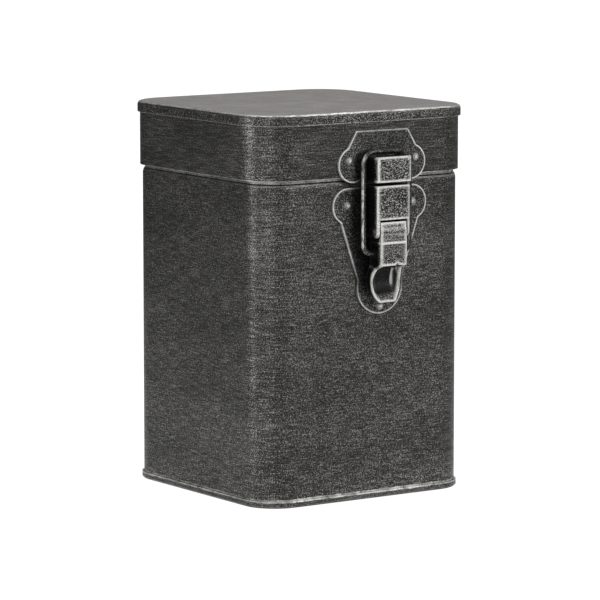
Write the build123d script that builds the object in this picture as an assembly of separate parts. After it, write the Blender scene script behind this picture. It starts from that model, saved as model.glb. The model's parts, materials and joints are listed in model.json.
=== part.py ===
from build123d import *
from math import atan2, cos, degrees, pi, radians, sin
import os

os.makedirs("parts", exist_ok=True)

# Box, all sizes in millimetres
BODY_W = 90.0
BODY_R = 12.6
SHEET = 0.5
HEIGHT = 141.3
LID_H = 23.5
SKIRT_Z = HEIGHT - LID_H

# Bottom pan that the body stands in
PAN_OUT = 0.75
PAN_H = 2.45
PAN_R = 0.6

# Shoulder and neck under the lid
SHOULDER_DROP = 2.9
SHOULDER_Z = SKIRT_Z - SHOULDER_DROP
SHOULDER_R = 2.5
NECK_IN = 0.8
NECK_RISE = 4.4
NECK_Z = SKIRT_Z + NECK_RISE
HEM_T = 0.6
HEM_H = 1.2

# Lid: skirt and top panel with its folded rim, rounder at the corners than the body
SKIRT_OUT = 1.4
SKIRT_R = 15.2
BEAD_OVER = 0.9
BEAD_OUT = SKIRT_OUT + BEAD_OVER
BEAD_H = 3.9
BEAD_R = 1.2
SEAM_GAP = 0.1

# Rivets and running clearance
RIVET_SHANK_R = 0.8
RIVET_HEAD_R = 1.6
RIVET_HEAD_H = 0.8
RIVET_TAIL_R = 1.1
RIVET_TAIL_H = 0.4
RIVET_SIDES = 16
FIT = 0.05

# Latch: metal thickness, centre line and the height of the lever's pin below the lid
LATCH_X = 4.3
PLATE = 0.8
GAUGE = 1.0
TAB_FIT = 0.05
EDGE_R = 0.7
PIN_DROP = 19.6
PIN_Z = SKIRT_Z - PIN_DROP

# Strike plate on the skirt, heights above the skirt's lower edge
STRIKE_TOP_Z = SKIRT_Z + 16.6
STRIKE_TOP_HALF = 11.3
STRIKE_NECK_Z = SKIRT_Z + 10.6
STRIKE_NECK_HALF = 14.9
STRIKE_EAR_X = 12.7
STRIKE_EAR_R = 6.4
STRIKE_LOW_Z = SKIRT_Z - 0.6
STRIKE_EAR_Z = STRIKE_LOW_Z + 5.1
STRIKE_RIVET_X = 14.6
STRIKE_RIVET_Z = SKIRT_Z + 6.1

# Hook on the strike plate, standing off the face of the body
HOOK_W = 14.6
HOOK_OUT = 10.2
HOOK_LOW_Z = SKIRT_Z - 1.6
HOOK_SEAT_Z = SKIRT_Z + 7.1
HOOK_LIP_H = 0.4
HOOK_TAB_LOW_Z = SKIRT_Z + 0.6
HOOK_TAB_H = 3.6

# Base plate on the body, heights from the lever's pin
BASE_TOP_Z = PIN_Z + 15.7
BASE_EAR_X = 14.1
BASE_EAR_R = 6.5
BASE_NECK_HALF = 17.2
BASE_NECK_Z = PIN_Z + 3.8
BASE_WAIST_HALF = 9.3
BASE_WAIST_Z = PIN_Z - 19.2
LOBE_Z = PIN_Z - 20.6
LOBE_R = 10.0
BASE_RIVET_X = 14.3
BASE_RIVET_Z = PIN_Z + 9.5
LOBE_RIVET_Z = PIN_Z - 27.9

# Lever with its dished thumb scoop
LEVER_W = 11.1
LEVER_T = 0.9
LEVER_RISE = 3.5
LEVER_TOP_Z = PIN_Z + LEVER_RISE
LEVER_LEAN = 0.6
LEVER_CREASE_Z = PIN_Z - 3.8
LEVER_FACE_LOW_Z = PIN_Z - 12.2
LEVER_TAPER = 0.2
LEVER_OUT = 9.8
LEVER_BACK = 2.6
LEVER_EAR_R = 3.3
NOTCH_X = 1.6
NOTCH_R = 1.1
SCOOP_HALF = 6.5
SCOOP_Z = PIN_Z - 18.0
SCOOP_RISE = 9.25
SCOOP_LOW_Z = PIN_Z - 25.8
SCOOP_FLOOR = 2.15
LIP_OUT = 5.8

# Bracket and pivot pin, its mouth clear of the top of the lever
BRACKET_W = 14.3
BRACKET_OUT = 9.6
BRACKET_TOP_Z = PIN_Z + 16.65
BRACKET_FACE_Z = LEVER_TOP_Z + 0.9
BRACKET_LOW_Z = PIN_Z - 2.3
BRACKET_R = 2.4
BRACKET_HEEL = 2.6
BRACKET_TAB_LOW_Z = PIN_Z + 5.8
BRACKET_TAB_H = 5.0
PIN_R = 1.1
PIN_OUT = 6.4
PIN_HEAD_R = 1.6
PIN_HEAD_T = 0.6
PIN_PLAY = 0.2

# Wire bail
WIRE_R = 1.0
WIRE_SIDES = 14
BAIL_W = 20.2
BAIL_TOP_Z = PIN_Z + 28.7
BAIL_OUT = 4.8
BAIL_PIVOT_Z = PIN_Z - 8.0
BAIL_TOP_R = 4.6
BAIL_LOW_R = 3.5
BAIL_END_X = 3.9

# Hinge at the back
HINGE_PIN_R = 0.8
HINGE_END_R = 1.15
HINGE_END_T = 0.6
LEAF_T = 0.65
KNUCKLE_R = HINGE_PIN_R + FIT + LEAF_T
HINGE_CLEAR = 0.3
HINGE_OUT = SKIRT_OUT + HINGE_CLEAR + KNUCKLE_R
HINGE_W = 40.0
HINGE_KNUCKLES = 3
LEAF_H = 12.5
JOGGLE_HIGH = 2.6
JOGGLE_LOW = 5.1
LEAF_RIVET_X = 13.5
LID_LEAF_RIVET_Z = SKIRT_Z + 8.0
BODY_LEAF_RIVET_Z = SKIRT_Z - 9.4

HALF = BODY_W / 2
CUT = 4.0
EYE = 0.01
FRONT = Plane.XZ.offset(HALF)
BACK = Plane((0, HALF, 0), x_dir=(-1, 0, 0), z_dir=(0, 1, 0))
SIDE = Plane((0, -HALF, 0), x_dir=(0, -1, 0), z_dir=(-1, 0, 0))
REAR_SIDE = Plane((0, HALF, 0), x_dir=(0, 1, 0), z_dir=(1, 0, 0))


def section(step, radius):
    """Rounded square a step outside the body's outer face."""
    width = BODY_W + 2 * step
    return RectangleRounded(width, width, radius)


def block(step, low, high):
    """Upright prism that keeps the body's corners."""
    return Pos(0, 0, low) * extrude(section(step, BODY_R + step), high - low)


def lid_block(step, low, high):
    """Upright prism that keeps the lid's rounder corners."""
    return Pos(0, 0, low) * extrude(section(step, SKIRT_R - SKIRT_OUT + step), high - low)


def rolled_top(base_radius, step, high, roll, turns):
    """Ring of sloping bands that turns a wall inward below a height, as a rolled edge."""
    bands = []
    for turn in range(turns + 1):
        angle = radians(90 * turn / turns)
        inward = roll * (1 - cos(angle))
        level = high - roll + roll * sin(angle)
        bands.append(Pos(0, 0, level) * section(step - inward, base_radius + step - inward))
    solid = loft(bands[:2], ruled=True)
    for low, top in zip(bands[1:], bands[2:]):
        solid += loft([low, top], ruled=True)
    return solid


def low_edges(solid):
    return solid.faces().sort_by(Axis.Z)[0].edges()


def plate(plane, outline, off, thickness):
    """Flat plate that starts at a stand-off from the body's face."""
    return extrude(plane.offset(off) * outline, thickness)


def bar(plane, outline, width):
    """Side profile drawn as stand-off and height, widened equally to both sides."""
    return extrude(plane * outline, width / 2, both=True)


def closed(*points):
    return make_face(Polyline(*points, close=True))


def ring_of(plane, x, z, radius, off):
    return plane.offset(off) * Pos(x, z) * RegularPolygon(radius, RIVET_SIDES)


def rivet(plane, x, z, off, grip):
    """Domed head outside, shank through the sheets, peened tail inside."""
    steps = [(0, RIVET_HEAD_R), (0.5 * RIVET_HEAD_H, 0.85 * RIVET_HEAD_R), (RIVET_HEAD_H, 0.4 * RIVET_HEAD_R)]
    solid = extrude(ring_of(plane, x, z, RIVET_SHANK_R, off - grip), grip)
    for (low, wide), (high, narrow) in zip(steps, steps[1:]):
        flat_in = (wide - narrow) * cos(pi / RIVET_SIDES)
        slope = degrees(atan2(flat_in, high - low))
        solid += extrude(ring_of(plane, x, z, wide, off + low), high - low, taper=slope)
    tail = extrude(ring_of(plane, x, z, RIVET_TAIL_R, off - grip - RIVET_TAIL_H), RIVET_TAIL_H)
    return solid + tail


def rivet_hole(plane, x, z):
    """Cutter for a rivet's hole through every sheet at one place, with the rivet's own sides."""
    return extrude(ring_of(plane, x, z, RIVET_SHANK_R + FIT, -CUT), 2 * CUT)


def slots(width, low, height):
    """Cutters for the two slots that a folded part's side walls are let into."""
    size = Rectangle(GAUGE + 2 * TAB_FIT, height + 2 * TAB_FIT)
    places = [Pos(side * (width - GAUGE) / 2, low + height / 2) * size for side in (-1, 1)]
    return [extrude(FRONT.offset(-CUT) * place, 2 * CUT) for place in places]


def oblong(out_low, out_high, low, high):
    """Rectangle in the side view, between two stand-offs and two heights."""
    return closed((out_low, low), (out_high, low), (out_high, high), (out_low, high))


# Body shell: straight wall, rolled shoulder, neck and inward hem
def body_solid(inset, turns):
    roll = SHOULDER_R - inset
    wall = block(-inset, SHEET, SHOULDER_Z) + rolled_top(BODY_R, -inset, SHOULDER_Z + roll, roll, turns)
    return wall + block(-NECK_IN - inset, SHEET, NECK_Z)


hollow = body_solid(SHEET, 2) + block(-NECK_IN - SHEET, 0, NECK_Z + CUT) + block(-SHEET, -CUT, SHOULDER_Z)
hem = block(-NECK_IN - SHEET, NECK_Z - HEM_H, NECK_Z) - block(-NECK_IN - SHEET - HEM_T, 0, HEIGHT)
body_shell = body_solid(0, 3) - hollow + hem

# Bottom pan
pan = chamfer(low_edges(block(PAN_OUT, 0, PAN_H)), PAN_R)
base_pan = pan - block(PAN_OUT - SHEET, SHEET, HEIGHT)

# Lid panel with its folded rim, and the skirt
cap = lid_block(BEAD_OUT, HEIGHT - BEAD_H, HEIGHT - BEAD_R)
cap += rolled_top(SKIRT_R - SKIRT_OUT, BEAD_OUT, HEIGHT, BEAD_R, 2)
lid_panel = cap - lid_block(SKIRT_OUT + SEAM_GAP, 0, HEIGHT - SHEET)
lid_skirt = lid_block(SKIRT_OUT, SKIRT_Z, HEIGHT - SHEET) - lid_block(SKIRT_OUT - SHEET, 0, HEIGHT)

# Strike plate: a tapered middle between two round ears
strike_half = [(STRIKE_TOP_HALF, STRIKE_TOP_Z), (STRIKE_NECK_HALF, STRIKE_NECK_Z),
               (STRIKE_NECK_HALF, STRIKE_LOW_Z)]
strike_outline = closed(*strike_half, *[(-x, z) for x, z in reversed(strike_half)])
for side in (-1, 1):
    strike_outline += Pos(side * STRIKE_EAR_X, STRIKE_EAR_Z) * Circle(STRIKE_EAR_R)
strike_plate = plate(FRONT, strike_outline, SKIRT_OUT, PLATE)
for slot in slots(HOOK_W, HOOK_TAB_LOW_Z, HOOK_TAB_H):
    strike_plate -= slot
strike_face = SKIRT_OUT + PLATE

# Hook: a front wall between two side walls, open above, its walls let into the strike plate
hook_back = HOOK_OUT - GAUGE
hook_lip_z = HOOK_SEAT_Z + HOOK_LIP_H
hook_side = closed((strike_face, HOOK_LOW_Z), (HOOK_OUT, HOOK_LOW_Z), (HOOK_OUT, hook_lip_z),
                   (hook_back, hook_lip_z), (hook_back - GAUGE, HOOK_SEAT_Z), (strike_face, HOOK_SEAT_Z))
hook_block = bar(SIDE, hook_side, HOOK_W)
hook_block = fillet(hook_block.edges().filter_by(Axis.Z).sort_by(Axis.Y)[:2], EDGE_R)
hook_tab = oblong(SKIRT_OUT, strike_face + GAUGE, HOOK_TAB_LOW_Z, HOOK_TAB_LOW_Z + HOOK_TAB_H)
hook_inside = oblong(0, hook_back, 0, HEIGHT)
strike_hook = hook_block + bar(SIDE, hook_tab, HOOK_W) - bar(SIDE, hook_inside, HOOK_W - 2 * GAUGE)

# Base plate: two ears, tapering to a round lobe
base_half = [(BASE_EAR_X, BASE_TOP_Z), (BASE_NECK_HALF, BASE_NECK_Z), (BASE_WAIST_HALF, BASE_WAIST_Z)]
base_outline = closed(*base_half, *[(-x, z) for x, z in reversed(base_half)])
for side in (-1, 1):
    base_outline += Pos(side * BASE_EAR_X, BASE_TOP_Z - BASE_EAR_R) * Circle(BASE_EAR_R)
base_outline += Pos(0, LOBE_Z) * Circle(LOBE_R)
latch_base = plate(FRONT, base_outline, 0, PLATE)
for slot in slots(BRACKET_W, BRACKET_TAB_LOW_Z, BRACKET_TAB_H):
    latch_base -= slot

# Bracket: closed above, open below its face for the lever
bracket_back = BRACKET_OUT - GAUGE
bracket_side = closed((PLATE, BRACKET_TOP_Z), (BRACKET_OUT, BRACKET_TOP_Z), (BRACKET_OUT, BRACKET_LOW_Z),
                      (PLATE + BRACKET_HEEL, BRACKET_LOW_Z), (PLATE, BRACKET_LOW_Z + BRACKET_HEEL))
bracket_block = bar(SIDE, bracket_side, BRACKET_W)
low_front = bracket_block.edges().filter_by(Axis.X).sort_by(Axis.Z)[:2].sort_by(Axis.Y)[0]
bracket_block = fillet(low_front, BRACKET_R)
bracket_block = fillet(bracket_block.edges().filter_by(Axis.Z).sort_by(Axis.Y)[:2], EDGE_R)
bracket_inside = oblong(0, bracket_back, 0, BRACKET_TOP_Z - GAUGE)
bracket_mouth = oblong(0, BRACKET_OUT + CUT, 0, BRACKET_FACE_Z)
bracket_tab = oblong(0, PLATE + GAUGE, BRACKET_TAB_LOW_Z, BRACKET_TAB_LOW_Z + BRACKET_TAB_H)
latch_bracket = bracket_block + bar(SIDE, bracket_tab, BRACKET_W)
latch_bracket -= bar(SIDE, bracket_inside + bracket_mouth, BRACKET_W - 2 * GAUGE)
latch_bracket -= bar(SIDE, Pos(PIN_OUT, PIN_Z) * Circle(PIN_R + FIT), BRACKET_W + CUT)

# Pivot pin with a head at each end
lever_pin = bar(SIDE, Pos(PIN_OUT, PIN_Z) * Circle(PIN_R), BRACKET_W + PIN_PLAY)
for side in (-1, 1):
    head = bar(SIDE, Pos(PIN_OUT, PIN_Z) * Circle(PIN_HEAD_R), PIN_HEAD_T)
    head = chamfer(head.faces().sort_by(Axis.X)[-1 if side > 0 else 0].edges(), PIN_HEAD_T / 2)
    lever_pin += Pos(side * (BRACKET_W + PIN_PLAY + PIN_HEAD_T) / 2, 0, 0) * head

# Lever in its side view: stand-off, height above the scoop's middle and, on the floor, its slope
RIM = ((6.2, 4.2), (4.9, 1.8), (4.3, -0.8), (4.5, -3.8))
FLOOR = ((3.4, -5.8, 49), (1.9, -3.6, 24), (SCOOP_FLOOR - LEVER_T, -0.6, 0),
         (1.7, 3.2, 0), (LEVER_BACK, 7.4, 0))
LIP_T = 0.8
LIP_FALL = 0.3
floor_top_z = SCOOP_Z + FLOOR[-1][1]
face_low = (LEVER_OUT - LEVER_TAPER, LEVER_FACE_LOW_Z)
face_back = LEVER_OUT - LEVER_TAPER - LEVER_T
rim_points = [(out, SCOOP_Z + rise) for out, rise in RIM] + [(LIP_OUT, SCOOP_LOW_Z)]
lip = (LIP_OUT - LIP_T, SCOOP_LOW_Z - LIP_FALL)
outer_floor = [(out, SCOOP_Z + rise) for out, rise, slope in FLOOR]
inner_floor = [(out + LEVER_T * cos(radians(slope)), SCOOP_Z + rise + LEVER_T * sin(radians(slope)))
               for out, rise, slope in FLOOR]
crown = (PIN_OUT, PIN_Z + LEVER_EAR_R)
face_top = (LEVER_OUT - LEVER_LEAN, LEVER_TOP_Z)
side_front = Polyline(crown, face_top, (LEVER_OUT, LEVER_CREASE_Z), face_low, rim_points[0])
side_rim = Spline(*rim_points, tangents=[(-0.7, -1), (0.7, -1)]) + Line(rim_points[-1], lip)
side_floor = Spline(lip, *outer_floor, tangents=[(-0.7, 0.8), (0.1, 1)])
side_back = Polyline(outer_floor[-1], (LEVER_BACK, floor_top_z + 3.4), (LEVER_BACK + 0.5, PIN_Z), crown)
lever_side = make_face(side_front + side_rim + side_floor + side_back)
lever_side += Pos(PIN_OUT, PIN_Z) * Circle(LEVER_EAR_R)
bowl_lip = (LIP_OUT + 0.2, SCOOP_LOW_Z)
inside_floor = Spline(bowl_lip, *inner_floor, tangents=[(-0.7, 0.8), (0.1, 1)])
inside_front = Polyline(inner_floor[-1], (-CUT, floor_top_z), (-CUT, LEVER_TOP_Z + CUT),
                        (face_top[0] - LEVER_T, LEVER_TOP_Z + CUT), (LEVER_OUT - LEVER_T, LEVER_CREASE_Z),
                        (face_back, LEVER_FACE_LOW_Z - EYE), (LEVER_OUT + CUT, LEVER_FACE_LOW_Z - EYE),
                        (LEVER_OUT + CUT, SCOOP_LOW_Z), bowl_lip)
lever_inside = bar(SIDE, make_face(inside_floor + inside_front), 2 * SCOOP_HALF)


# Lever in its front view: a straight arm that ends in an oval scoop
def oval(inset, off):
    return FRONT.offset(off) * Pos(0, SCOOP_Z) * Ellipse(SCOOP_HALF - inset, SCOOP_RISE - inset)


def arm(inset, low):
    size = LEVER_TOP_Z + CUT - low
    return Pos(0, low + size / 2) * Rectangle(LEVER_W - 2 * inset, size)


BOWL_RIM = 4.4
BOWL_STEPS = ((BOWL_RIM, 0), (2.9, 1.0), (SCOOP_FLOOR - 0.25, 2.6))
ARM_LOW = SCOOP_Z + 4.0
lever_block = bar(SIDE, lever_side, 2 * SCOOP_HALF)
lever_block &= plate(FRONT, arm(0, SCOOP_Z), 0, 2 * LEVER_OUT) + extrude(oval(0, 0), 2 * LEVER_OUT)
open_front = plate(FRONT, arm(LEVER_T, ARM_LOW), -CUT, 3 * LEVER_OUT)
open_front += extrude(oval(LEVER_T, BOWL_RIM), LEVER_OUT)
for (high, wide), (low, narrow) in zip(BOWL_STEPS, BOWL_STEPS[1:]):
    open_front += loft([oval(LEVER_T + wide, high), oval(LEVER_T + narrow, low)], ruled=True)
lever = lever_block - (lever_inside & open_front)
lever -= bar(SIDE, Pos(PIN_OUT, PIN_Z) * Circle(PIN_R + FIT), 2 * SCOOP_HALF)
lever -= bar(SIDE, Pos(BAIL_OUT, BAIL_PIVOT_Z) * Circle(WIRE_R + FIT), 2 * SCOOP_HALF)
lever_notch = Pos(NOTCH_X, LEVER_FACE_LOW_Z) * RegularPolygon(NOTCH_R, 3, rotation=90)
lever -= plate(FRONT, lever_notch, PIN_OUT, LEVER_OUT)

# Bail: one length of wire whose ends turn in through the lever's walls
leg = BAIL_W / 2
low_turn = BAIL_LOW_R * (1 - cos(radians(45)))
top_turn = BAIL_TOP_R * (1 - cos(radians(45)))
low_bend_z = BAIL_PIVOT_Z + BAIL_LOW_R
top_bend_z = BAIL_TOP_Z - BAIL_TOP_R
wire = Line((BAIL_END_X, BAIL_PIVOT_Z), (leg - BAIL_LOW_R, BAIL_PIVOT_Z))
wire += ThreePointArc(wire @ 1, (leg - low_turn, BAIL_PIVOT_Z + low_turn), (leg, low_bend_z))
wire += Line((leg, low_bend_z), (leg, top_bend_z))
wire += ThreePointArc(wire @ 1, (leg - top_turn, BAIL_TOP_Z - top_turn), (leg - BAIL_TOP_R, BAIL_TOP_Z))
wire += Line((leg - BAIL_TOP_R, BAIL_TOP_Z), (0, BAIL_TOP_Z))
wire_end = Plane((BAIL_END_X, -HALF - BAIL_OUT, BAIL_PIVOT_Z), x_dir=(0, 1, 0), z_dir=(1, 0, 0))
half_bail = sweep(wire_end * RegularPolygon(WIRE_R, WIRE_SIDES), path=FRONT.offset(BAIL_OUT) * wire)
bail = half_bail + mirror(half_bail, Plane.YZ)

# Hinge leaves, knuckles and pin, drawn from the pin's axis
pitch = HINGE_W / HINGE_KNUCKLES
wrap = -KNUCKLE_R
skin = -KNUCKLE_R - HINGE_CLEAR
body_skin = skin - SKIRT_OUT
lid_profile = oblong(skin, skin + LEAF_T, 0, LEAF_H)
body_profile = closed((wrap, 0), (wrap + LEAF_T, 0), (wrap + LEAF_T, -JOGGLE_HIGH - LEAF_T / 4),
                      (body_skin + LEAF_T, -JOGGLE_LOW - LEAF_T / 4), (body_skin + LEAF_T, -LEAF_H),
                      (body_skin, -LEAF_H), (body_skin, -JOGGLE_LOW), (wrap, -JOGGLE_HIGH))
AXLE = Pos(HINGE_OUT, SKIRT_Z)


def span(outline, middle, width):
    return Pos(middle, 0, 0) * bar(REAR_SIDE, AXLE * outline, width)


hinge_lid_leaf = span(lid_profile, 0, HINGE_W)
hinge_body_leaf = span(body_profile, 0, HINGE_W)
reach = KNUCKLE_R + HINGE_CLEAR + FIT
for index in range(HINGE_KNUCKLES):
    middle = (index - (HINGE_KNUCKLES - 1) / 2) * pitch
    notch = span(Rectangle(2 * reach, 2 * reach), middle, pitch + HINGE_CLEAR)
    knuckle = span(Circle(KNUCKLE_R), middle, pitch - HINGE_CLEAR)
    if index % 2:
        hinge_body_leaf -= notch
        hinge_lid_leaf += knuckle
    else:
        hinge_lid_leaf -= notch
        hinge_body_leaf += knuckle
bore = span(Circle(HINGE_PIN_R + FIT), 0, HINGE_W + CUT)
hinge_lid_leaf -= bore
hinge_body_leaf -= bore
hinge_pin = span(Circle(HINGE_PIN_R), 0, HINGE_W + PIN_PLAY)
for side in (-1, 1):
    hinge_pin += span(Circle(HINGE_END_R), side * (HINGE_W + PIN_PLAY + HINGE_END_T) / 2, HINGE_END_T)

# Rivets and their holes
rivets = {}
front_grip = PLATE + SHEET
for name, x, z in (("left", -BASE_RIVET_X, BASE_RIVET_Z), ("right", BASE_RIVET_X, BASE_RIVET_Z),
                   ("low", 0, LOBE_RIVET_Z)):
    rivets["base_rivet_" + name] = rivet(FRONT, LATCH_X + x, z, PLATE, front_grip)
    latch_base -= rivet_hole(FRONT, x, z)
    body_shell -= rivet_hole(FRONT, LATCH_X + x, z)
for name, x in (("left", -STRIKE_RIVET_X), ("right", STRIKE_RIVET_X)):
    rivets["strike_rivet_" + name] = rivet(FRONT, LATCH_X + x, STRIKE_RIVET_Z, strike_face, front_grip)
    strike_plate -= rivet_hole(FRONT, x, STRIKE_RIVET_Z)
    lid_skirt -= rivet_hole(FRONT, LATCH_X + x, STRIKE_RIVET_Z)
leaf_grip = LEAF_T + SHEET
for name, x in (("left", -LEAF_RIVET_X), ("right", LEAF_RIVET_X)):
    rivets["hinge_lid_rivet_" + name] = rivet(BACK, -x, LID_LEAF_RIVET_Z, SKIRT_OUT + LEAF_T, leaf_grip)
    rivets["hinge_body_rivet_" + name] = rivet(BACK, -x, BODY_LEAF_RIVET_Z, LEAF_T, leaf_grip)
    hinge_lid_leaf -= rivet_hole(BACK, -x, LID_LEAF_RIVET_Z)
    lid_skirt -= rivet_hole(BACK, -x, LID_LEAF_RIVET_Z)
    hinge_body_leaf -= rivet_hole(BACK, -x, BODY_LEAF_RIVET_Z)
    body_shell -= rivet_hole(BACK, -x, BODY_LEAF_RIVET_Z)

shift = Pos(LATCH_X, 0, 0)
nodes = {
    "body_shell": body_shell,
    "base_pan": base_pan,
    "lid_panel": lid_panel,
    "lid_skirt": lid_skirt,
    "strike_plate": shift * strike_plate,
    "strike_hook": shift * strike_hook,
    "latch_base": shift * latch_base,
    "latch_bracket": shift * latch_bracket,
    "lever_pin": shift * lever_pin,
    "lever": shift * lever,
    "bail": shift * bail,
    "hinge_lid_leaf": hinge_lid_leaf,
    "hinge_body_leaf": hinge_body_leaf,
    "hinge_pin": hinge_pin,
    **rivets,
}
for name, solid in nodes.items():
    export_step(solid, f"parts/{name}.step")
    print(name, round(solid.volume, 2), len(solid.solids()), solid.is_valid)
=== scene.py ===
import json
import math

import bpy
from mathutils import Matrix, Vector

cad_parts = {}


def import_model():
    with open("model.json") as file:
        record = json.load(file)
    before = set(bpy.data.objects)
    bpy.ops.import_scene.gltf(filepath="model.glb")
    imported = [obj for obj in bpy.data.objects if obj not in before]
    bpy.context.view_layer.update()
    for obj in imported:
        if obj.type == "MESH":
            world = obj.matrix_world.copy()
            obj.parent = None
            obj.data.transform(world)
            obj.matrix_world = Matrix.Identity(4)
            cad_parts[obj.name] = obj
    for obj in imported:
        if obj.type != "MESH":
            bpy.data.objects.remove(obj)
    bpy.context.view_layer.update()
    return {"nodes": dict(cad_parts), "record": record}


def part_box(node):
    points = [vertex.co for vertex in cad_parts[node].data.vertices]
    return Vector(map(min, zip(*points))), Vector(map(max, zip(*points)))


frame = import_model()

MM = 0.001


def lowest(node, axis):
    """Lowest place of a CAD node along an axis, in millimetres."""
    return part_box(node)[0]["XYZ".index(axis)] / MM


def highest(node, axis):
    """Highest place of a CAD node along an axis, in millimetres."""
    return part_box(node)[1]["XYZ".index(axis)] / MM


def middle(node, axis):
    """Middle of a CAD node along an axis, in millimetres."""
    return (lowest(node, axis) + highest(node, axis)) / 2


# Camera, as fitted to the outline of the box
CAM_AZIMUTH = -34.43
CAM_ELEVATION = 7.72
CAM_DISTANCE = 1.469
CAM_TARGET_Z = 67.5 * MM
CAM_SENSOR = 36.0
CAM_LENS = 237.9
CAM_SHIFT_X = 0.0031
CAM_SHIFT_Y = 0.0009
CAM_NEAR = 0.05
CAM_FAR = 50.0

# Lamps round the box: azimuth and elevation in degrees, distance, width and height in metres, watts
LAMPS = {
    "key": (-106, 12, 1.4, (0.30, 1.0), 9.5),
    "side": (-58, 14, 1.6, (1.1, 0.9), 7.0),
    "fill": (24, 16, 1.6, (0.9, 0.8), 5.0),
    "top": (150, 60, 1.5, (1.2, 0.9), 14.0),
}

# Room round the box: white as the metal mirrors it, dim towards one side, and its soft light on the rest
ROOM_LIGHT = 1.0
ROOM_DARK = 0.10
ROOM_DARK_AZIMUTH = -145.0
ROOM_FADE = (-0.5, 0.6)
ROOM_SOFT = 0.45

# White table top, in metres: it lies a little below the box, and its glow for the metal fades with distance
TABLE_SIZE = 12.0
TABLE_DROP = 0.00005
TABLE_COLOUR = (0.85, 0.85, 0.85)
TABLE_WHITE = 1.2
TABLE_WHITE_SHARE = 0.80
TABLE_NEAR = 0.08
TABLE_FAR = 0.70
TABLE_GLOW = 0.95
TABLE_END = 0.08

# Heights between features, in millimetres
SHOULDER_DROP = 2.2
PANEL_SHEET = 0.5
CREASE_DROP = 3.8
SCOOP_DROP = 13.7
LOBE_RISE = 7.4

# Places on the part at rest, in millimetres, that the wear and grime follow
BODY_HALF = highest("body_shell", "X")
PAN_EDGE_Z = highest("base_pan", "Z")
SKIRT_EDGE_Z = lowest("lid_skirt", "Z")
SHOULDER_Z = SKIRT_EDGE_Z - SHOULDER_DROP
BEAD_LOW_Z = lowest("lid_panel", "Z")
TOP_Z = highest("lid_panel", "Z")
BEAD_TOP_Z = TOP_Z - PANEL_SHEET
LATCH_X = middle("latch_base", "X")
PIN_Z = middle("lever_pin", "Z")
CREASE_Z = PIN_Z - CREASE_DROP
SCOOP_TOP_Z = PIN_Z - SCOOP_DROP
LOBE_Z = lowest("latch_base", "Z") + LOBE_RISE

# Colours, linear
CHARCOAL = (0.011, 0.0107, 0.0103)
SLATE = (0.086, 0.0835, 0.0795)
PLATE_DARK = (0.012, 0.012, 0.012)
PLATE_LIGHT = (0.074, 0.072, 0.07)
LATCH_DARK = (0.010, 0.010, 0.010)
LATCH_LIGHT = (0.060, 0.059, 0.057)
WIRE_DARK = (0.007, 0.007, 0.007)
WIRE_LIGHT = (0.035, 0.035, 0.034)
RIVET_DARK = (0.018, 0.018, 0.018)
RIVET_LIGHT = (0.10, 0.098, 0.094)
# Paler colours of the lid's flat top: painted top light
TOP_LIGHT_LOW = (0.130, 0.121, 0.114)
TOP_LIGHT_HIGH = (0.178, 0.167, 0.159)
# Silver: worn metal, and painted highlights
SILVER = (0.78, 0.77, 0.74)
# Black: the colour of painted shade
BLACK = (0.006, 0.006, 0.006)
WHITE = (1.0, 1.0, 1.0)

# Noises: features per millimetre along X, Y and Z, then detail and roughness
BRUSH = ((0.14, 0.14, 3.4), 2.0, 0.6)
GRAIN = ((3.0, 3.0, 3.0), 1.5, 0.5)
CLOUD = ((0.02, 0.02, 0.06), 3.0, 0.55)
RUB = ((0.45, 0.45, 0.45), 4.0, 0.7)
JITTER = ((0.3, 0.3, 0.3), 4.0, 0.65)
PATCH = ((0.12, 0.12, 0.12), 3.0, 0.6)
# Breaks up the wire's rubbed wear and painted highlight
WIRE_RUB_SHEEN = ((0.6, 0.6, 0.35), 3.0, 0.6)
WIRE_RUB_SHEEN_SHIFT = (4.0, 0.0, 2.0)
PIT_DENSITY = (1.1, 1.1, 1.1)

# Keeps the flat walls off the noise's own lattice planes, where it fades
OFF_LATTICE = 0.3
SEED_STEPS = (1.0, 1.7, 0.6)

# Ramps over a noise: the levels between which it runs, then what it gives there, if not 0 and 1
LIGHT_GRAIN = (0.41, 0.60)
WORN_GRAIN = (0.30, 0.48, 0.45, 1.0)
POLISH_HIGHLIGHT_GRAIN = (0.34, 0.56, 0.4, 1.0)
PATCHY = (0.42, 0.58, 0.45, 1.0)
WIRE_RUB_SHEEN_BREAKS = (0.38, 0.58, 0.15, 1.0)
PIT_WALL = (0.05, 0.45)

# Grain: most that strokes count for, depth of the clouds, softness of specks and of gaps in worn edges
STROKE_SHARE = 0.4
CLOUD_DEPTH = 0.12
SPECK_SOFT = 0.08
GAP_SOFT = 0.16

# Worn edges and lines: where the normal's bend starts to count, and sizes in millimetres
EDGE_START = 0.995
JITTER_HEIGHT = 0.9
LINE_SOFT = 0.12
LEFT_REACH = 14.0
LEFT_LEAST = 0.45
LEVEL_FACE = (0.99, 0.93)

# Painted shade in corners: reach in millimetres, the openness over which it grows, and how far it dulls
# bright wear
CORNER_SHADE_REACH = 5.0
OPENNESS = (0.72, 0.25)
CORNER_SHADE_DULLS = 0.7

# Surface: share of metal and the wear from which it drops, roughness round the finish's own, and relief
METAL = 0.85
GLINT_FROM = 0.3
ROUGHER = 0.08
SMOOTHER = 0.06
BRUSH_RELIEF = 0.5
BUMP_STRENGTH = 0.5
BUMP_DEPTH = 0.1

# Rays for each bevel and corner test
RAY_SAMPLES = 8

# The lid's flat top: how far below its face the painted top light starts and is full, in millimetres
PANEL_FADE = 0.25
PANEL_SKIN = 0.05

# Painted shade on the plates: reach from the centre line and fades in millimetres, and shares
PLATE_SHADE_REACH = (13.0, 9.5)
SEAM_FADE = 8.0
LOWER_PLATE_SHADE = 0.8
UPPER_PLATE_SHADE = 0.35
LOBE_FADE = 4.0
LOBE_SHADE = 0.35

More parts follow.
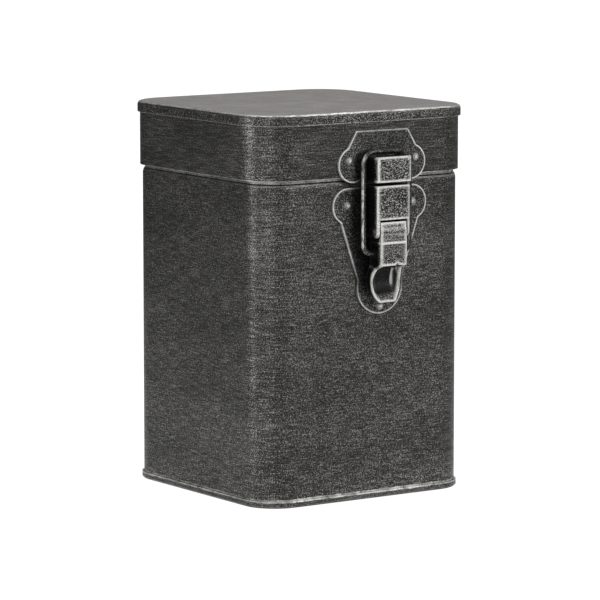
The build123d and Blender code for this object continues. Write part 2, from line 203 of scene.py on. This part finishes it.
# Painted shade behind the latch's faces: distance out from the body and down the scoop in millimetres, and
# its share
WALL_FACE = (8.6, 7.0)
BOWL_FACE = (4.6, 3.6)
SCOOP_FADE = 1.5
BOWL_LIT = (7.5, 5.0)
LATCH_SHADE = 0.94

# The bowl's right wall, which takes a painted highlight: how far it looks left, its place from the centre
# line, its depth, and the highlight's strength
LOOKS_LEFT = (-0.25, -0.55)
BOWL_SIDE = (2.8, 4.0)
BOWL_SIDE_SOFT = 0.5
BOWL_DEPTH = 6.0
BOWL_HIGHLIGHT = 0.8

# Rounded edges of the folded parts, as shares of the normal, and the lever's crease in millimetres
ROUND_EDGE = (0.35, 0.90, 0.1)
UPRIGHT = (0.4, 0.2)
ABOVE_CREASE = 1.0
CREASE_BELOW = 0.5
CREASE_ABOVE = 0.1
CREASE_SOFT = 0.25

# The wire's side, rubbed and with a painted highlight, and the rivets' tops with a painted highlight, as
# shares of the normal
WIRE_LEFT = (-0.98, -0.62, 0.15)
WIRE_FRONT = (0.0, -0.25)
DOME_HIGHLIGHT = (0.80, 0.96, 0.0, 0.9)

# Painted shade on the lever's pin: half its height and a fade in millimetres, and its share
PIN_HALF = 2.0
PIN_SOFT = 0.5
PIN_SHADE = 0.8


class Nodes:
    """Short hands for building one node tree."""

    def __init__(self, owner):
        owner.use_nodes = True
        self.owner = owner
        self.tree = owner.node_tree
        self.tree.nodes.clear()

    def put(self, node, key, value):
        """Sets or links one input: i0, i1 and so on by its place, any other by its name."""
        by_place = key[0] == "i" and key[1:].isdigit()
        socket = node.inputs[int(key[1:]) if by_place else key.replace("_", " ")]
        if isinstance(value, bpy.types.NodeSocket):
            self.tree.links.new(value, socket)
        elif socket.type == "RGBA":
            socket.default_value = (*value, 1.0)
        else:
            socket.default_value = value

    def add(self, kind, **inputs):
        node = self.tree.nodes.new(kind)
        for key, value in inputs.items():
            self.put(node, key, value)
        return node

    def math(self, operation, a, b=0.0):
        node = self.add("ShaderNodeMath", i0=a, i1=b)
        node.operation = operation
        return node.outputs[0]

    def plus(self, a, b):
        return self.math("ADD", a, b)

    def minus(self, a, b):
        return self.math("SUBTRACT", a, b)

    def both(self, a, b):
        return self.math("MULTIPLY", a, b)

    def either(self, a, b):
        return self.math("MAXIMUM", a, b)

    def vector(self, operation, a, b=(0.0, 0.0, 0.0)):
        """A number from one or two vectors."""
        node = self.add("ShaderNodeVectorMath", i0=a, i1=b)
        node.operation = operation
        return node.outputs["Value"]

    def ramp(self, value, start, end, at_start=0.0, at_end=1.0):
        """Runs from one value to another as its input goes from start to end, and holds beyond them."""
        node = self.add("ShaderNodeMapRange", Value=value)
        self.put(node, "From_Min", start)
        self.put(node, "From_Max", end)
        self.put(node, "To_Min", at_start)
        self.put(node, "To_Max", at_end)
        return node.outputs["Result"]

    def band(self, place, start, end, soft):
        """1 between two places, falling to 0 over a soft edge."""
        return self.both(self.ramp(place, start - soft, start), self.ramp(place, end + soft, end))

    def mix(self, share, a, b):
        node = self.tree.nodes.new("ShaderNodeMix")
        node.data_type = "RGBA"
        self.put(node, "i0", share)
        self.put(node, "i6", a)
        self.put(node, "i7", b)
        return node.outputs[2]

    def object_place(self):
        return self.add("ShaderNodeTexCoord").outputs["Object"]

    def features(self, density, shift):
        """Object coordinates, scaled in features per millimetre along each axis."""
        scale = tuple(count / MM for count in density)
        mapping = self.add("ShaderNodeMapping", Vector=self.object_place(), Location=shift, Scale=scale)
        return mapping.outputs["Vector"]

    def noise(self, kind, shift):
        density, detail, rough = kind
        place = self.features(density, shift)
        node = self.add("ShaderNodeTexNoise", Vector=place, Scale=1.0, Detail=detail, Roughness=rough)
        return node.outputs["Fac"]

    def edges(self, radius, full):
        """0 on flat faces, rising to 1 where two faces meet within the radius, in millimetres."""
        bevel = self.add("ShaderNodeBevel", Radius=radius * MM)
        bevel.samples = RAY_SAMPLES
        normal = self.add("ShaderNodeNewGeometry").outputs["Normal"]
        return self.ramp(self.vector("DOT_PRODUCT", bevel.outputs["Normal"], normal), EDGE_START, full)

    def corners(self):
        """1 in deep corners, 0 on open faces: where painted shade goes."""
        shade = self.add("ShaderNodeAmbientOcclusion", Distance=CORNER_SHADE_REACH * MM)
        shade.samples = RAY_SAMPLES
        return self.ramp(shade.outputs["AO"], *OPENNESS)

    def along(self, axis):
        """Place in millimetres along one axis of the part at rest."""
        place = self.add("ShaderNodeSeparateXYZ", Vector=self.object_place())
        return self.math("DIVIDE", place.outputs[axis], MM)

    def normal(self, axis):
        """Share of the surface's own normal along one axis."""
        normal = self.add("ShaderNodeTexCoord").outputs["Normal"]
        return self.add("ShaderNodeSeparateXYZ", Vector=normal).outputs[axis]

    def facing(self, axis):
        """The same, front and back alike."""
        return self.math("ABSOLUTE", self.normal(axis))


def worn_lines(n, shift, lines, flats):
    """Patchy lines of wear round the box, weaker towards its left side and with uneven heights."""
    jitter = n.both(n.minus(n.noise(JITTER, shift), 0.5), JITTER_HEIGHT)
    height = n.plus(n.along("Z"), jitter)
    patch = n.ramp(n.noise(PATCH, shift), *PATCHY)
    patch = n.both(patch, n.ramp(n.along("X"), -BODY_HALF, -BODY_HALF + LEFT_REACH, LEFT_LEAST, 1.0))
    if not flats:
        patch = n.both(patch, n.ramp(n.facing("Z"), *LEVEL_FACE))
    found = 0.0
    for start, end, strength in lines:
        line = n.both(n.both(n.band(height, start, end, LINE_SOFT), patch), strength)
        found = n.either(found, line)
    return found


def aged(name, dark, light, seed=0.0, streaks=0.45, specks=0.555, fleck=0.36, rim=0.3, full=0.86, wear=0.8,
         broken=0.34, least=0.2, glint=0.0, gloss=0.42, pits=0.0, corner_shade=0.0, lines=(), flats=True,
         painted_top_light=None, crest=None, polish_and_highlight=None, shade=None):
    """Dark antiqued metal: silver grain brushed on dry, cloudy wear and edges rubbed bright.

    seed moves the noises, so that no two finishes share a pattern.
    streaks is the share of brush strokes in the grain, up to 1.
    specks and fleck are the grain level where bright specks start, and their strength.
    rim and full are the reach of a worn edge in millimetres, and the bend of the normal that wears it fully.
    wear, broken and least are the edges' strength, the noise level of their gaps and what is left in a gap.
    glint is how much less metallic the bright spots are, so that they catch plain light.
    gloss is the roughness and pits the depth of small hollows; the next argument is the share of painted
    shade in corners.
    lines holds worn lines as (from, to, strength) along Z, and flats says if level faces take them as well.
    The last four are masks: painted top light, worn crests with a painted highlight on the bowl's wall,
    rubbed wear with painted highlights, and painted shade.
    """
    n = Nodes(bpy.data.materials.new(name))
    shift = tuple(seed * step + OFF_LATTICE for step in SEED_STEPS)
    brush = n.noise(BRUSH, shift)
    grain = n.noise(GRAIN, shift)
    strokes = STROKE_SHARE * streaks
    mixed = n.plus(n.both(grain, 1.0 - strokes), n.both(brush, strokes))
    level = n.plus(mixed, n.both(n.minus(n.noise(CLOUD, shift), 0.5), CLOUD_DEPTH))
    share = n.ramp(level, *LIGHT_GRAIN)
    colour = n.mix(share, dark, light)
    # Painted top light: the paler colours where the mask says
    if painted_top_light:
        colour = n.mix(painted_top_light(n), colour, n.mix(share, TOP_LIGHT_LOW, TOP_LIGHT_HIGH))

    edge = n.edges(rim, full)
    if lines:
        edge = n.either(edge, worn_lines(n, shift, lines, flats))
    # Worn crests, and the painted highlight on the bowl's right wall
    if crest:
        edge = n.either(edge, crest(n))
    gap = n.ramp(n.noise(RUB, shift), broken, broken + GAP_SOFT, least, 1.0)
    # Worn edges and lines, with the painted highlights that come in through the crests and the shoulder line
    worn_and_lit = n.both(n.both(edge, gap), n.ramp(grain, *WORN_GRAIN))
    bright = n.both(n.ramp(level, specks, specks + SPECK_SOFT), fleck)
    bright = n.either(bright, n.both(worn_and_lit, wear))
    # Rubbed wear and painted highlights: the wire's side and the rivets' domes
    if polish_and_highlight:
        bright = n.either(bright, n.both(polish_and_highlight(n), n.ramp(grain, *POLISH_HIGHLIGHT_GRAIN)))

    # Painted shade in corners
    if corner_shade:
        deep = n.both(n.corners(), corner_shade)
        colour = n.mix(deep, colour, BLACK)
        bright = n.both(bright, n.minus(1.0, n.both(deep, CORNER_SHADE_DULLS)))
    # Painted shade from a mask
    if shade:
        deep = shade(n)
        colour = n.mix(deep, colour, BLACK)
        bright = n.both(bright, n.minus(1.0, deep))

    relief = n.plus(n.both(brush, BRUSH_RELIEF), grain)
    if pits:
        cells = n.add("ShaderNodeTexVoronoi", Vector=n.features(PIT_DENSITY, shift), Scale=1.0)
        relief = n.plus(relief, n.both(n.ramp(cells.outputs["Distance"], *PIT_WALL), pits))
    bump = n.add("ShaderNodeBump", Strength=BUMP_STRENGTH, Distance=BUMP_DEPTH * MM, Height=relief)
    shader = n.add(
        "ShaderNodeBsdfPrincipled",
        Base_Color=n.mix(bright, colour, SILVER),
        Metallic=n.ramp(bright, GLINT_FROM, 1.0, METAL, METAL - glint) if glint else METAL,
        Roughness=n.ramp(share, 0.0, 1.0, gloss + ROUGHER, gloss - SMOOTHER),
        Normal=bump.outputs[0],
    )
    n.add("ShaderNodeOutputMaterial", Surface=shader.outputs[0])
    return n.owner


def line(place, below, above, strength):
    """A line of wear along Z, reaching below and above a place by so many millimetres."""
    return place - below, place + above, strength


def antiqued_sheet():
    """Body, pan and skirt, worn at the foot and along the seam, with painted shade in corners; the faint line
    on the shoulder is wear together with a painted highlight of its bend.
    """
    foot = line(PAN_EDGE_Z, below=0.45, above=0.5, strength=1.0)
    seam = line(SKIRT_EDGE_Z, below=1.0, above=0.1, strength=0.75)
    # Shoulder line: partly wear, partly a painted highlight of the bend
    shoulder = line(SHOULDER_Z, below=0.0, above=0.6, strength=0.15)
    return aged("antiqued_sheet", CHARCOAL, SLATE, streaks=0.85, wear=1.0, corner_shade=0.6,
                lines=(foot, seam, shoulder))


def panel_face(n):
    """The flat top of the lid, inside its rolled edge, which takes the painted top light."""
    return n.ramp(n.along("Z"), TOP_Z - PANEL_FADE, TOP_Z - PANEL_SKIN)


def lid_top_sheet():
    """The lid's panel, with painted top light on its flat top, and worn along both sides of the bead."""
    under_bead = line(BEAD_LOW_Z, below=1.0, above=0.15, strength=0.5)
    over_bead = line(BEAD_TOP_Z, below=0.0, above=0.35, strength=0.7)
    return aged("lid_top_sheet", CHARCOAL, SLATE, seed=3.0, wear=1.0, broken=0.38, least=0.25,
                lines=(under_bead, over_bead), flats=False, painted_top_light=panel_face)


def plate_shade(n):
    """Painted shade on the plates near the latch's centre line, heavy on the lower plate but for its lobe."""
    near = n.ramp(n.math("ABSOLUTE", n.minus(n.along("X"), LATCH_X)), *PLATE_SHADE_REACH)
    height = n.along("Z")
    past_seam = n.ramp(height, SKIRT_EDGE_Z, SKIRT_EDGE_Z + SEAM_FADE, LOWER_PLATE_SHADE, UPPER_PLATE_SHADE)
    past_lobe = n.ramp(height, LOBE_Z, LOBE_Z + LOBE_FADE, LOBE_SHADE, 1.0)
    return n.both(near, n.both(past_seam, past_lobe))


def latch_plate():
    """Both latch plates, with painted shade in the middle and bright worn rims."""
    return aged("latch_plate", PLATE_DARK, PLATE_LIGHT, seed=5.0, specks=0.565, fleck=0.5, rim=1.2, full=0.95,
                wear=1.0, least=0.6, glint=0.7, shade=plate_shade)


def lit_bowl_side(n):
    """The scoop's right wall, which looks to the left, towards the light: it takes a painted highlight and no
    painted shade.
    """
    start, end = BOWL_SIDE
    place = n.band(n.along("X"), LATCH_X + start, LATCH_X + end, BOWL_SIDE_SOFT)
    return n.both(n.ramp(n.normal("X"), *LOOKS_LEFT), place)


def shade_behind_faces(n):
    """Painted shade on the latch's side walls, and in the bowl of the scoop but for its lit right wall."""
    stands_out = n.minus(n.both(n.along("Y"), -1.0), BODY_HALF)
    height = n.along("Z")
    walls = n.both(n.ramp(stands_out, *WALL_FACE), n.ramp(height, SCOOP_TOP_Z, SCOOP_TOP_Z + SCOOP_FADE))
    bowl = n.both(n.ramp(stands_out, *BOWL_FACE), n.ramp(height, SCOOP_TOP_Z + SCOOP_FADE, SCOOP_TOP_Z))
    dim_depth, lit_depth = BOWL_LIT
    lit_wall = n.both(lit_bowl_side(n), n.ramp(height, SCOOP_TOP_Z - dim_depth, SCOOP_TOP_Z - lit_depth))
    return n.both(n.either(walls, n.both(bowl, n.minus(1.0, lit_wall))), LATCH_SHADE)


def crests_and_bowl_highlight(n):
    """Rubbed bright: the latch's rounded upright edges and the lever's crease; and a painted highlight on the
    bowl's right wall.
    """
    height = n.along("Z")
    rounds = n.both(n.band(n.facing("Y"), *ROUND_EDGE), n.ramp(n.facing("Z"), *UPRIGHT))
    rounds = n.both(rounds, n.ramp(height, CREASE_Z, CREASE_Z + ABOVE_CREASE))
    crease = n.band(height, CREASE_Z - CREASE_BELOW, CREASE_Z + CREASE_ABOVE, CREASE_SOFT)
    # Painted highlight on the bowl's right wall
    inner = n.both(lit_bowl_side(n), n.band(height, SCOOP_TOP_Z - BOWL_DEPTH, SCOOP_TOP_Z, SCOOP_FADE))
    return n.either(n.either(rounds, crease), n.both(inner, BOWL_HIGHLIGHT))


def latch_metal():
    """Hook, bracket and lever: lightly pitted, with broad bright edges, painted shade behind their faces and
    a painted highlight on the bowl's right wall.
    """
    return aged("latch_metal", LATCH_DARK, LATCH_LIGHT, seed=7.0, specks=0.54, fleck=0.7, streaks=0.3,
                rim=1.8, full=0.96, wear=1.0, broken=0.28, least=0.6, glint=0.75, pits=0.4,
                shade=shade_behind_faces, crest=crests_and_bowl_highlight)


def wire_rub_and_highlight(n):
    """The left side of the wire: rubbed by hands, and with a painted highlight."""
    side = n.both(n.band(n.normal("X"), *WIRE_LEFT), n.ramp(n.normal("Y"), *WIRE_FRONT))
    return n.both(side, n.ramp(n.noise(WIRE_RUB_SHEEN, WIRE_RUB_SHEEN_SHIFT), *WIRE_RUB_SHEEN_BREAKS))


def bail_wire():
    """The wire, darkest of all but for its side, rubbed and with a painted highlight."""
    return aged("bail_wire", WIRE_DARK, WIRE_LIGHT, seed=9.0, glint=0.6, polish_and_highlight=wire_rub_and_highlight)


def hinge_metal():
    """Both hinge leaves and the hinge's pin, with painted shade in corners."""
    return aged("hinge_metal", CHARCOAL, SLATE, seed=11.0, rim=0.5, wear=0.9, corner_shade=0.4)


def dome_highlight(n):
    """Painted highlight on the tops of the rivets' domes."""
    return n.ramp(n.facing("Y"), *DOME_HIGHLIGHT)


def pin_shade(n):
    """Painted shade on the lever's pin."""
    return n.both(n.band(n.along("Z"), PIN_Z - PIN_HALF, PIN_Z + PIN_HALF, PIN_SOFT), PIN_SHADE)


def rivet_steel():
    """Rivets with a painted highlight on their domes, and the lever's pin with painted shade."""
    return aged("rivet_steel", RIVET_DARK, RIVET_LIGHT, seed=13.0, wear=0.5, glint=0.6, gloss=0.35,
                polish_and_highlight=dome_highlight, shade=pin_shade)


def dress():
    """Gives every CAD node the finish of its slot."""
    finishes = (antiqued_sheet, lid_top_sheet, latch_plate, latch_metal, bail_wire, hinge_metal, rivet_steel)
    materials = {finish.__name__: finish() for finish in finishes}
    for part in frame["record"]["subparts"]:
        node = frame["nodes"][part["node"]]
        slot = part["material_slot"]
        node.data.materials.clear()
        node.data.materials.append(materials[slot])


def floor():
    """White table top. It glows for the camera, and near the box for the metal, and takes a soft shadow."""
    bpy.ops.mesh.primitive_plane_add(size=TABLE_SIZE, location=(0, 0, -TABLE_DROP))
    plane = bpy.context.object
    plane.name = "floor"
    n = Nodes(bpy.data.materials.new("floor"))
    rays = n.add("ShaderNodeLightPath").outputs
    distance = n.vector("LENGTH", n.object_place())
    mirrored = n.ramp(distance, TABLE_NEAR, TABLE_FAR, TABLE_GLOW, TABLE_END)
    strength = n.plus(n.both(rays["Is Camera Ray"], TABLE_WHITE), n.both(rays["Is Glossy Ray"], mirrored))
    glow = n.add("ShaderNodeEmission", Color=WHITE, Strength=strength)
    diffuse = n.add("ShaderNodeBsdfDiffuse", Color=TABLE_COLOUR)
    share = n.either(n.both(rays["Is Camera Ray"], TABLE_WHITE_SHARE), rays["Is Glossy Ray"])
    surface = n.add("ShaderNodeMixShader", i0=share, i1=diffuse.outputs[0], i2=glow.outputs[0])
    n.add("ShaderNodeOutputMaterial", Surface=surface.outputs[0])
    plane.data.materials.append(n.owner)


def world():
    """White behind the box; the metal mirrors the same white, dimming towards the room's dark side."""
    scene = bpy.context.scene
    scene.world = bpy.data.worlds.new("world")
    n = Nodes(scene.world)
    rays = n.add("ShaderNodeLightPath").outputs
    look = n.add("ShaderNodeTexCoord").outputs["Generated"]
    azimuth = math.radians(ROOM_DARK_AZIMUTH)
    toward_dark = n.vector("DOT_PRODUCT", look, (math.sin(azimuth), -math.cos(azimuth), 0.0))
    mirrored = n.ramp(toward_dark, *ROOM_FADE, ROOM_LIGHT, ROOM_DARK)
    white = n.add("ShaderNodeBackground", Color=WHITE, Strength=n.either(rays["Is Camera Ray"], mirrored))
    soft = n.add("ShaderNodeBackground", Color=WHITE, Strength=ROOM_SOFT)
    shown = n.either(rays["Is Camera Ray"], n.either(rays["Is Glossy Ray"], rays["Is Transmission Ray"]))
    surface = n.add("ShaderNodeMixShader", i0=shown, i1=soft.outputs[0], i2=white.outputs[0])
    n.add("ShaderNodeOutputWorld", Surface=surface.outputs[0])


def hold(name, data, azimuth, elevation, distance):
    """Puts a lamp or the camera at a place round the box, looking at it."""
    holder = bpy.data.objects.new(name, data)
    bpy.context.scene.collection.objects.link(holder)
    a, e = math.radians(azimuth), math.radians(elevation)
    back = Vector((math.sin(a) * math.cos(e), -math.cos(a) * math.cos(e), math.sin(e)))
    holder.location = Vector((0, 0, CAM_TARGET_Z)) + back * distance
    holder.rotation_mode = "QUATERNION"
    holder.rotation_quaternion = (-back).to_track_quat("-Z", "Y")
    return holder


def softbox(name, azimuth, elevation, distance, size, power):
    lamp = bpy.data.lights.new(name, "AREA")
    lamp.shape = "RECTANGLE"
    lamp.size, lamp.size_y = size
    lamp.energy = power
    hold(name, lamp, azimuth, elevation, distance)


def camera():
    data = bpy.data.cameras.new("camera")
    data.sensor_width = CAM_SENSOR
    data.lens = CAM_LENS
    data.shift_x = CAM_SHIFT_X
    data.shift_y = CAM_SHIFT_Y
    data.clip_start = CAM_NEAR
    data.clip_end = CAM_FAR
    bpy.context.scene.camera = hold("camera", data, CAM_AZIMUTH, CAM_ELEVATION, CAM_DISTANCE)


dress()
floor()
world()
for lamp_name, lamp_values in LAMPS.items():
    softbox(lamp_name, *lamp_values)
camera()

bpy.context.scene.view_settings.view_transform = "Standard"
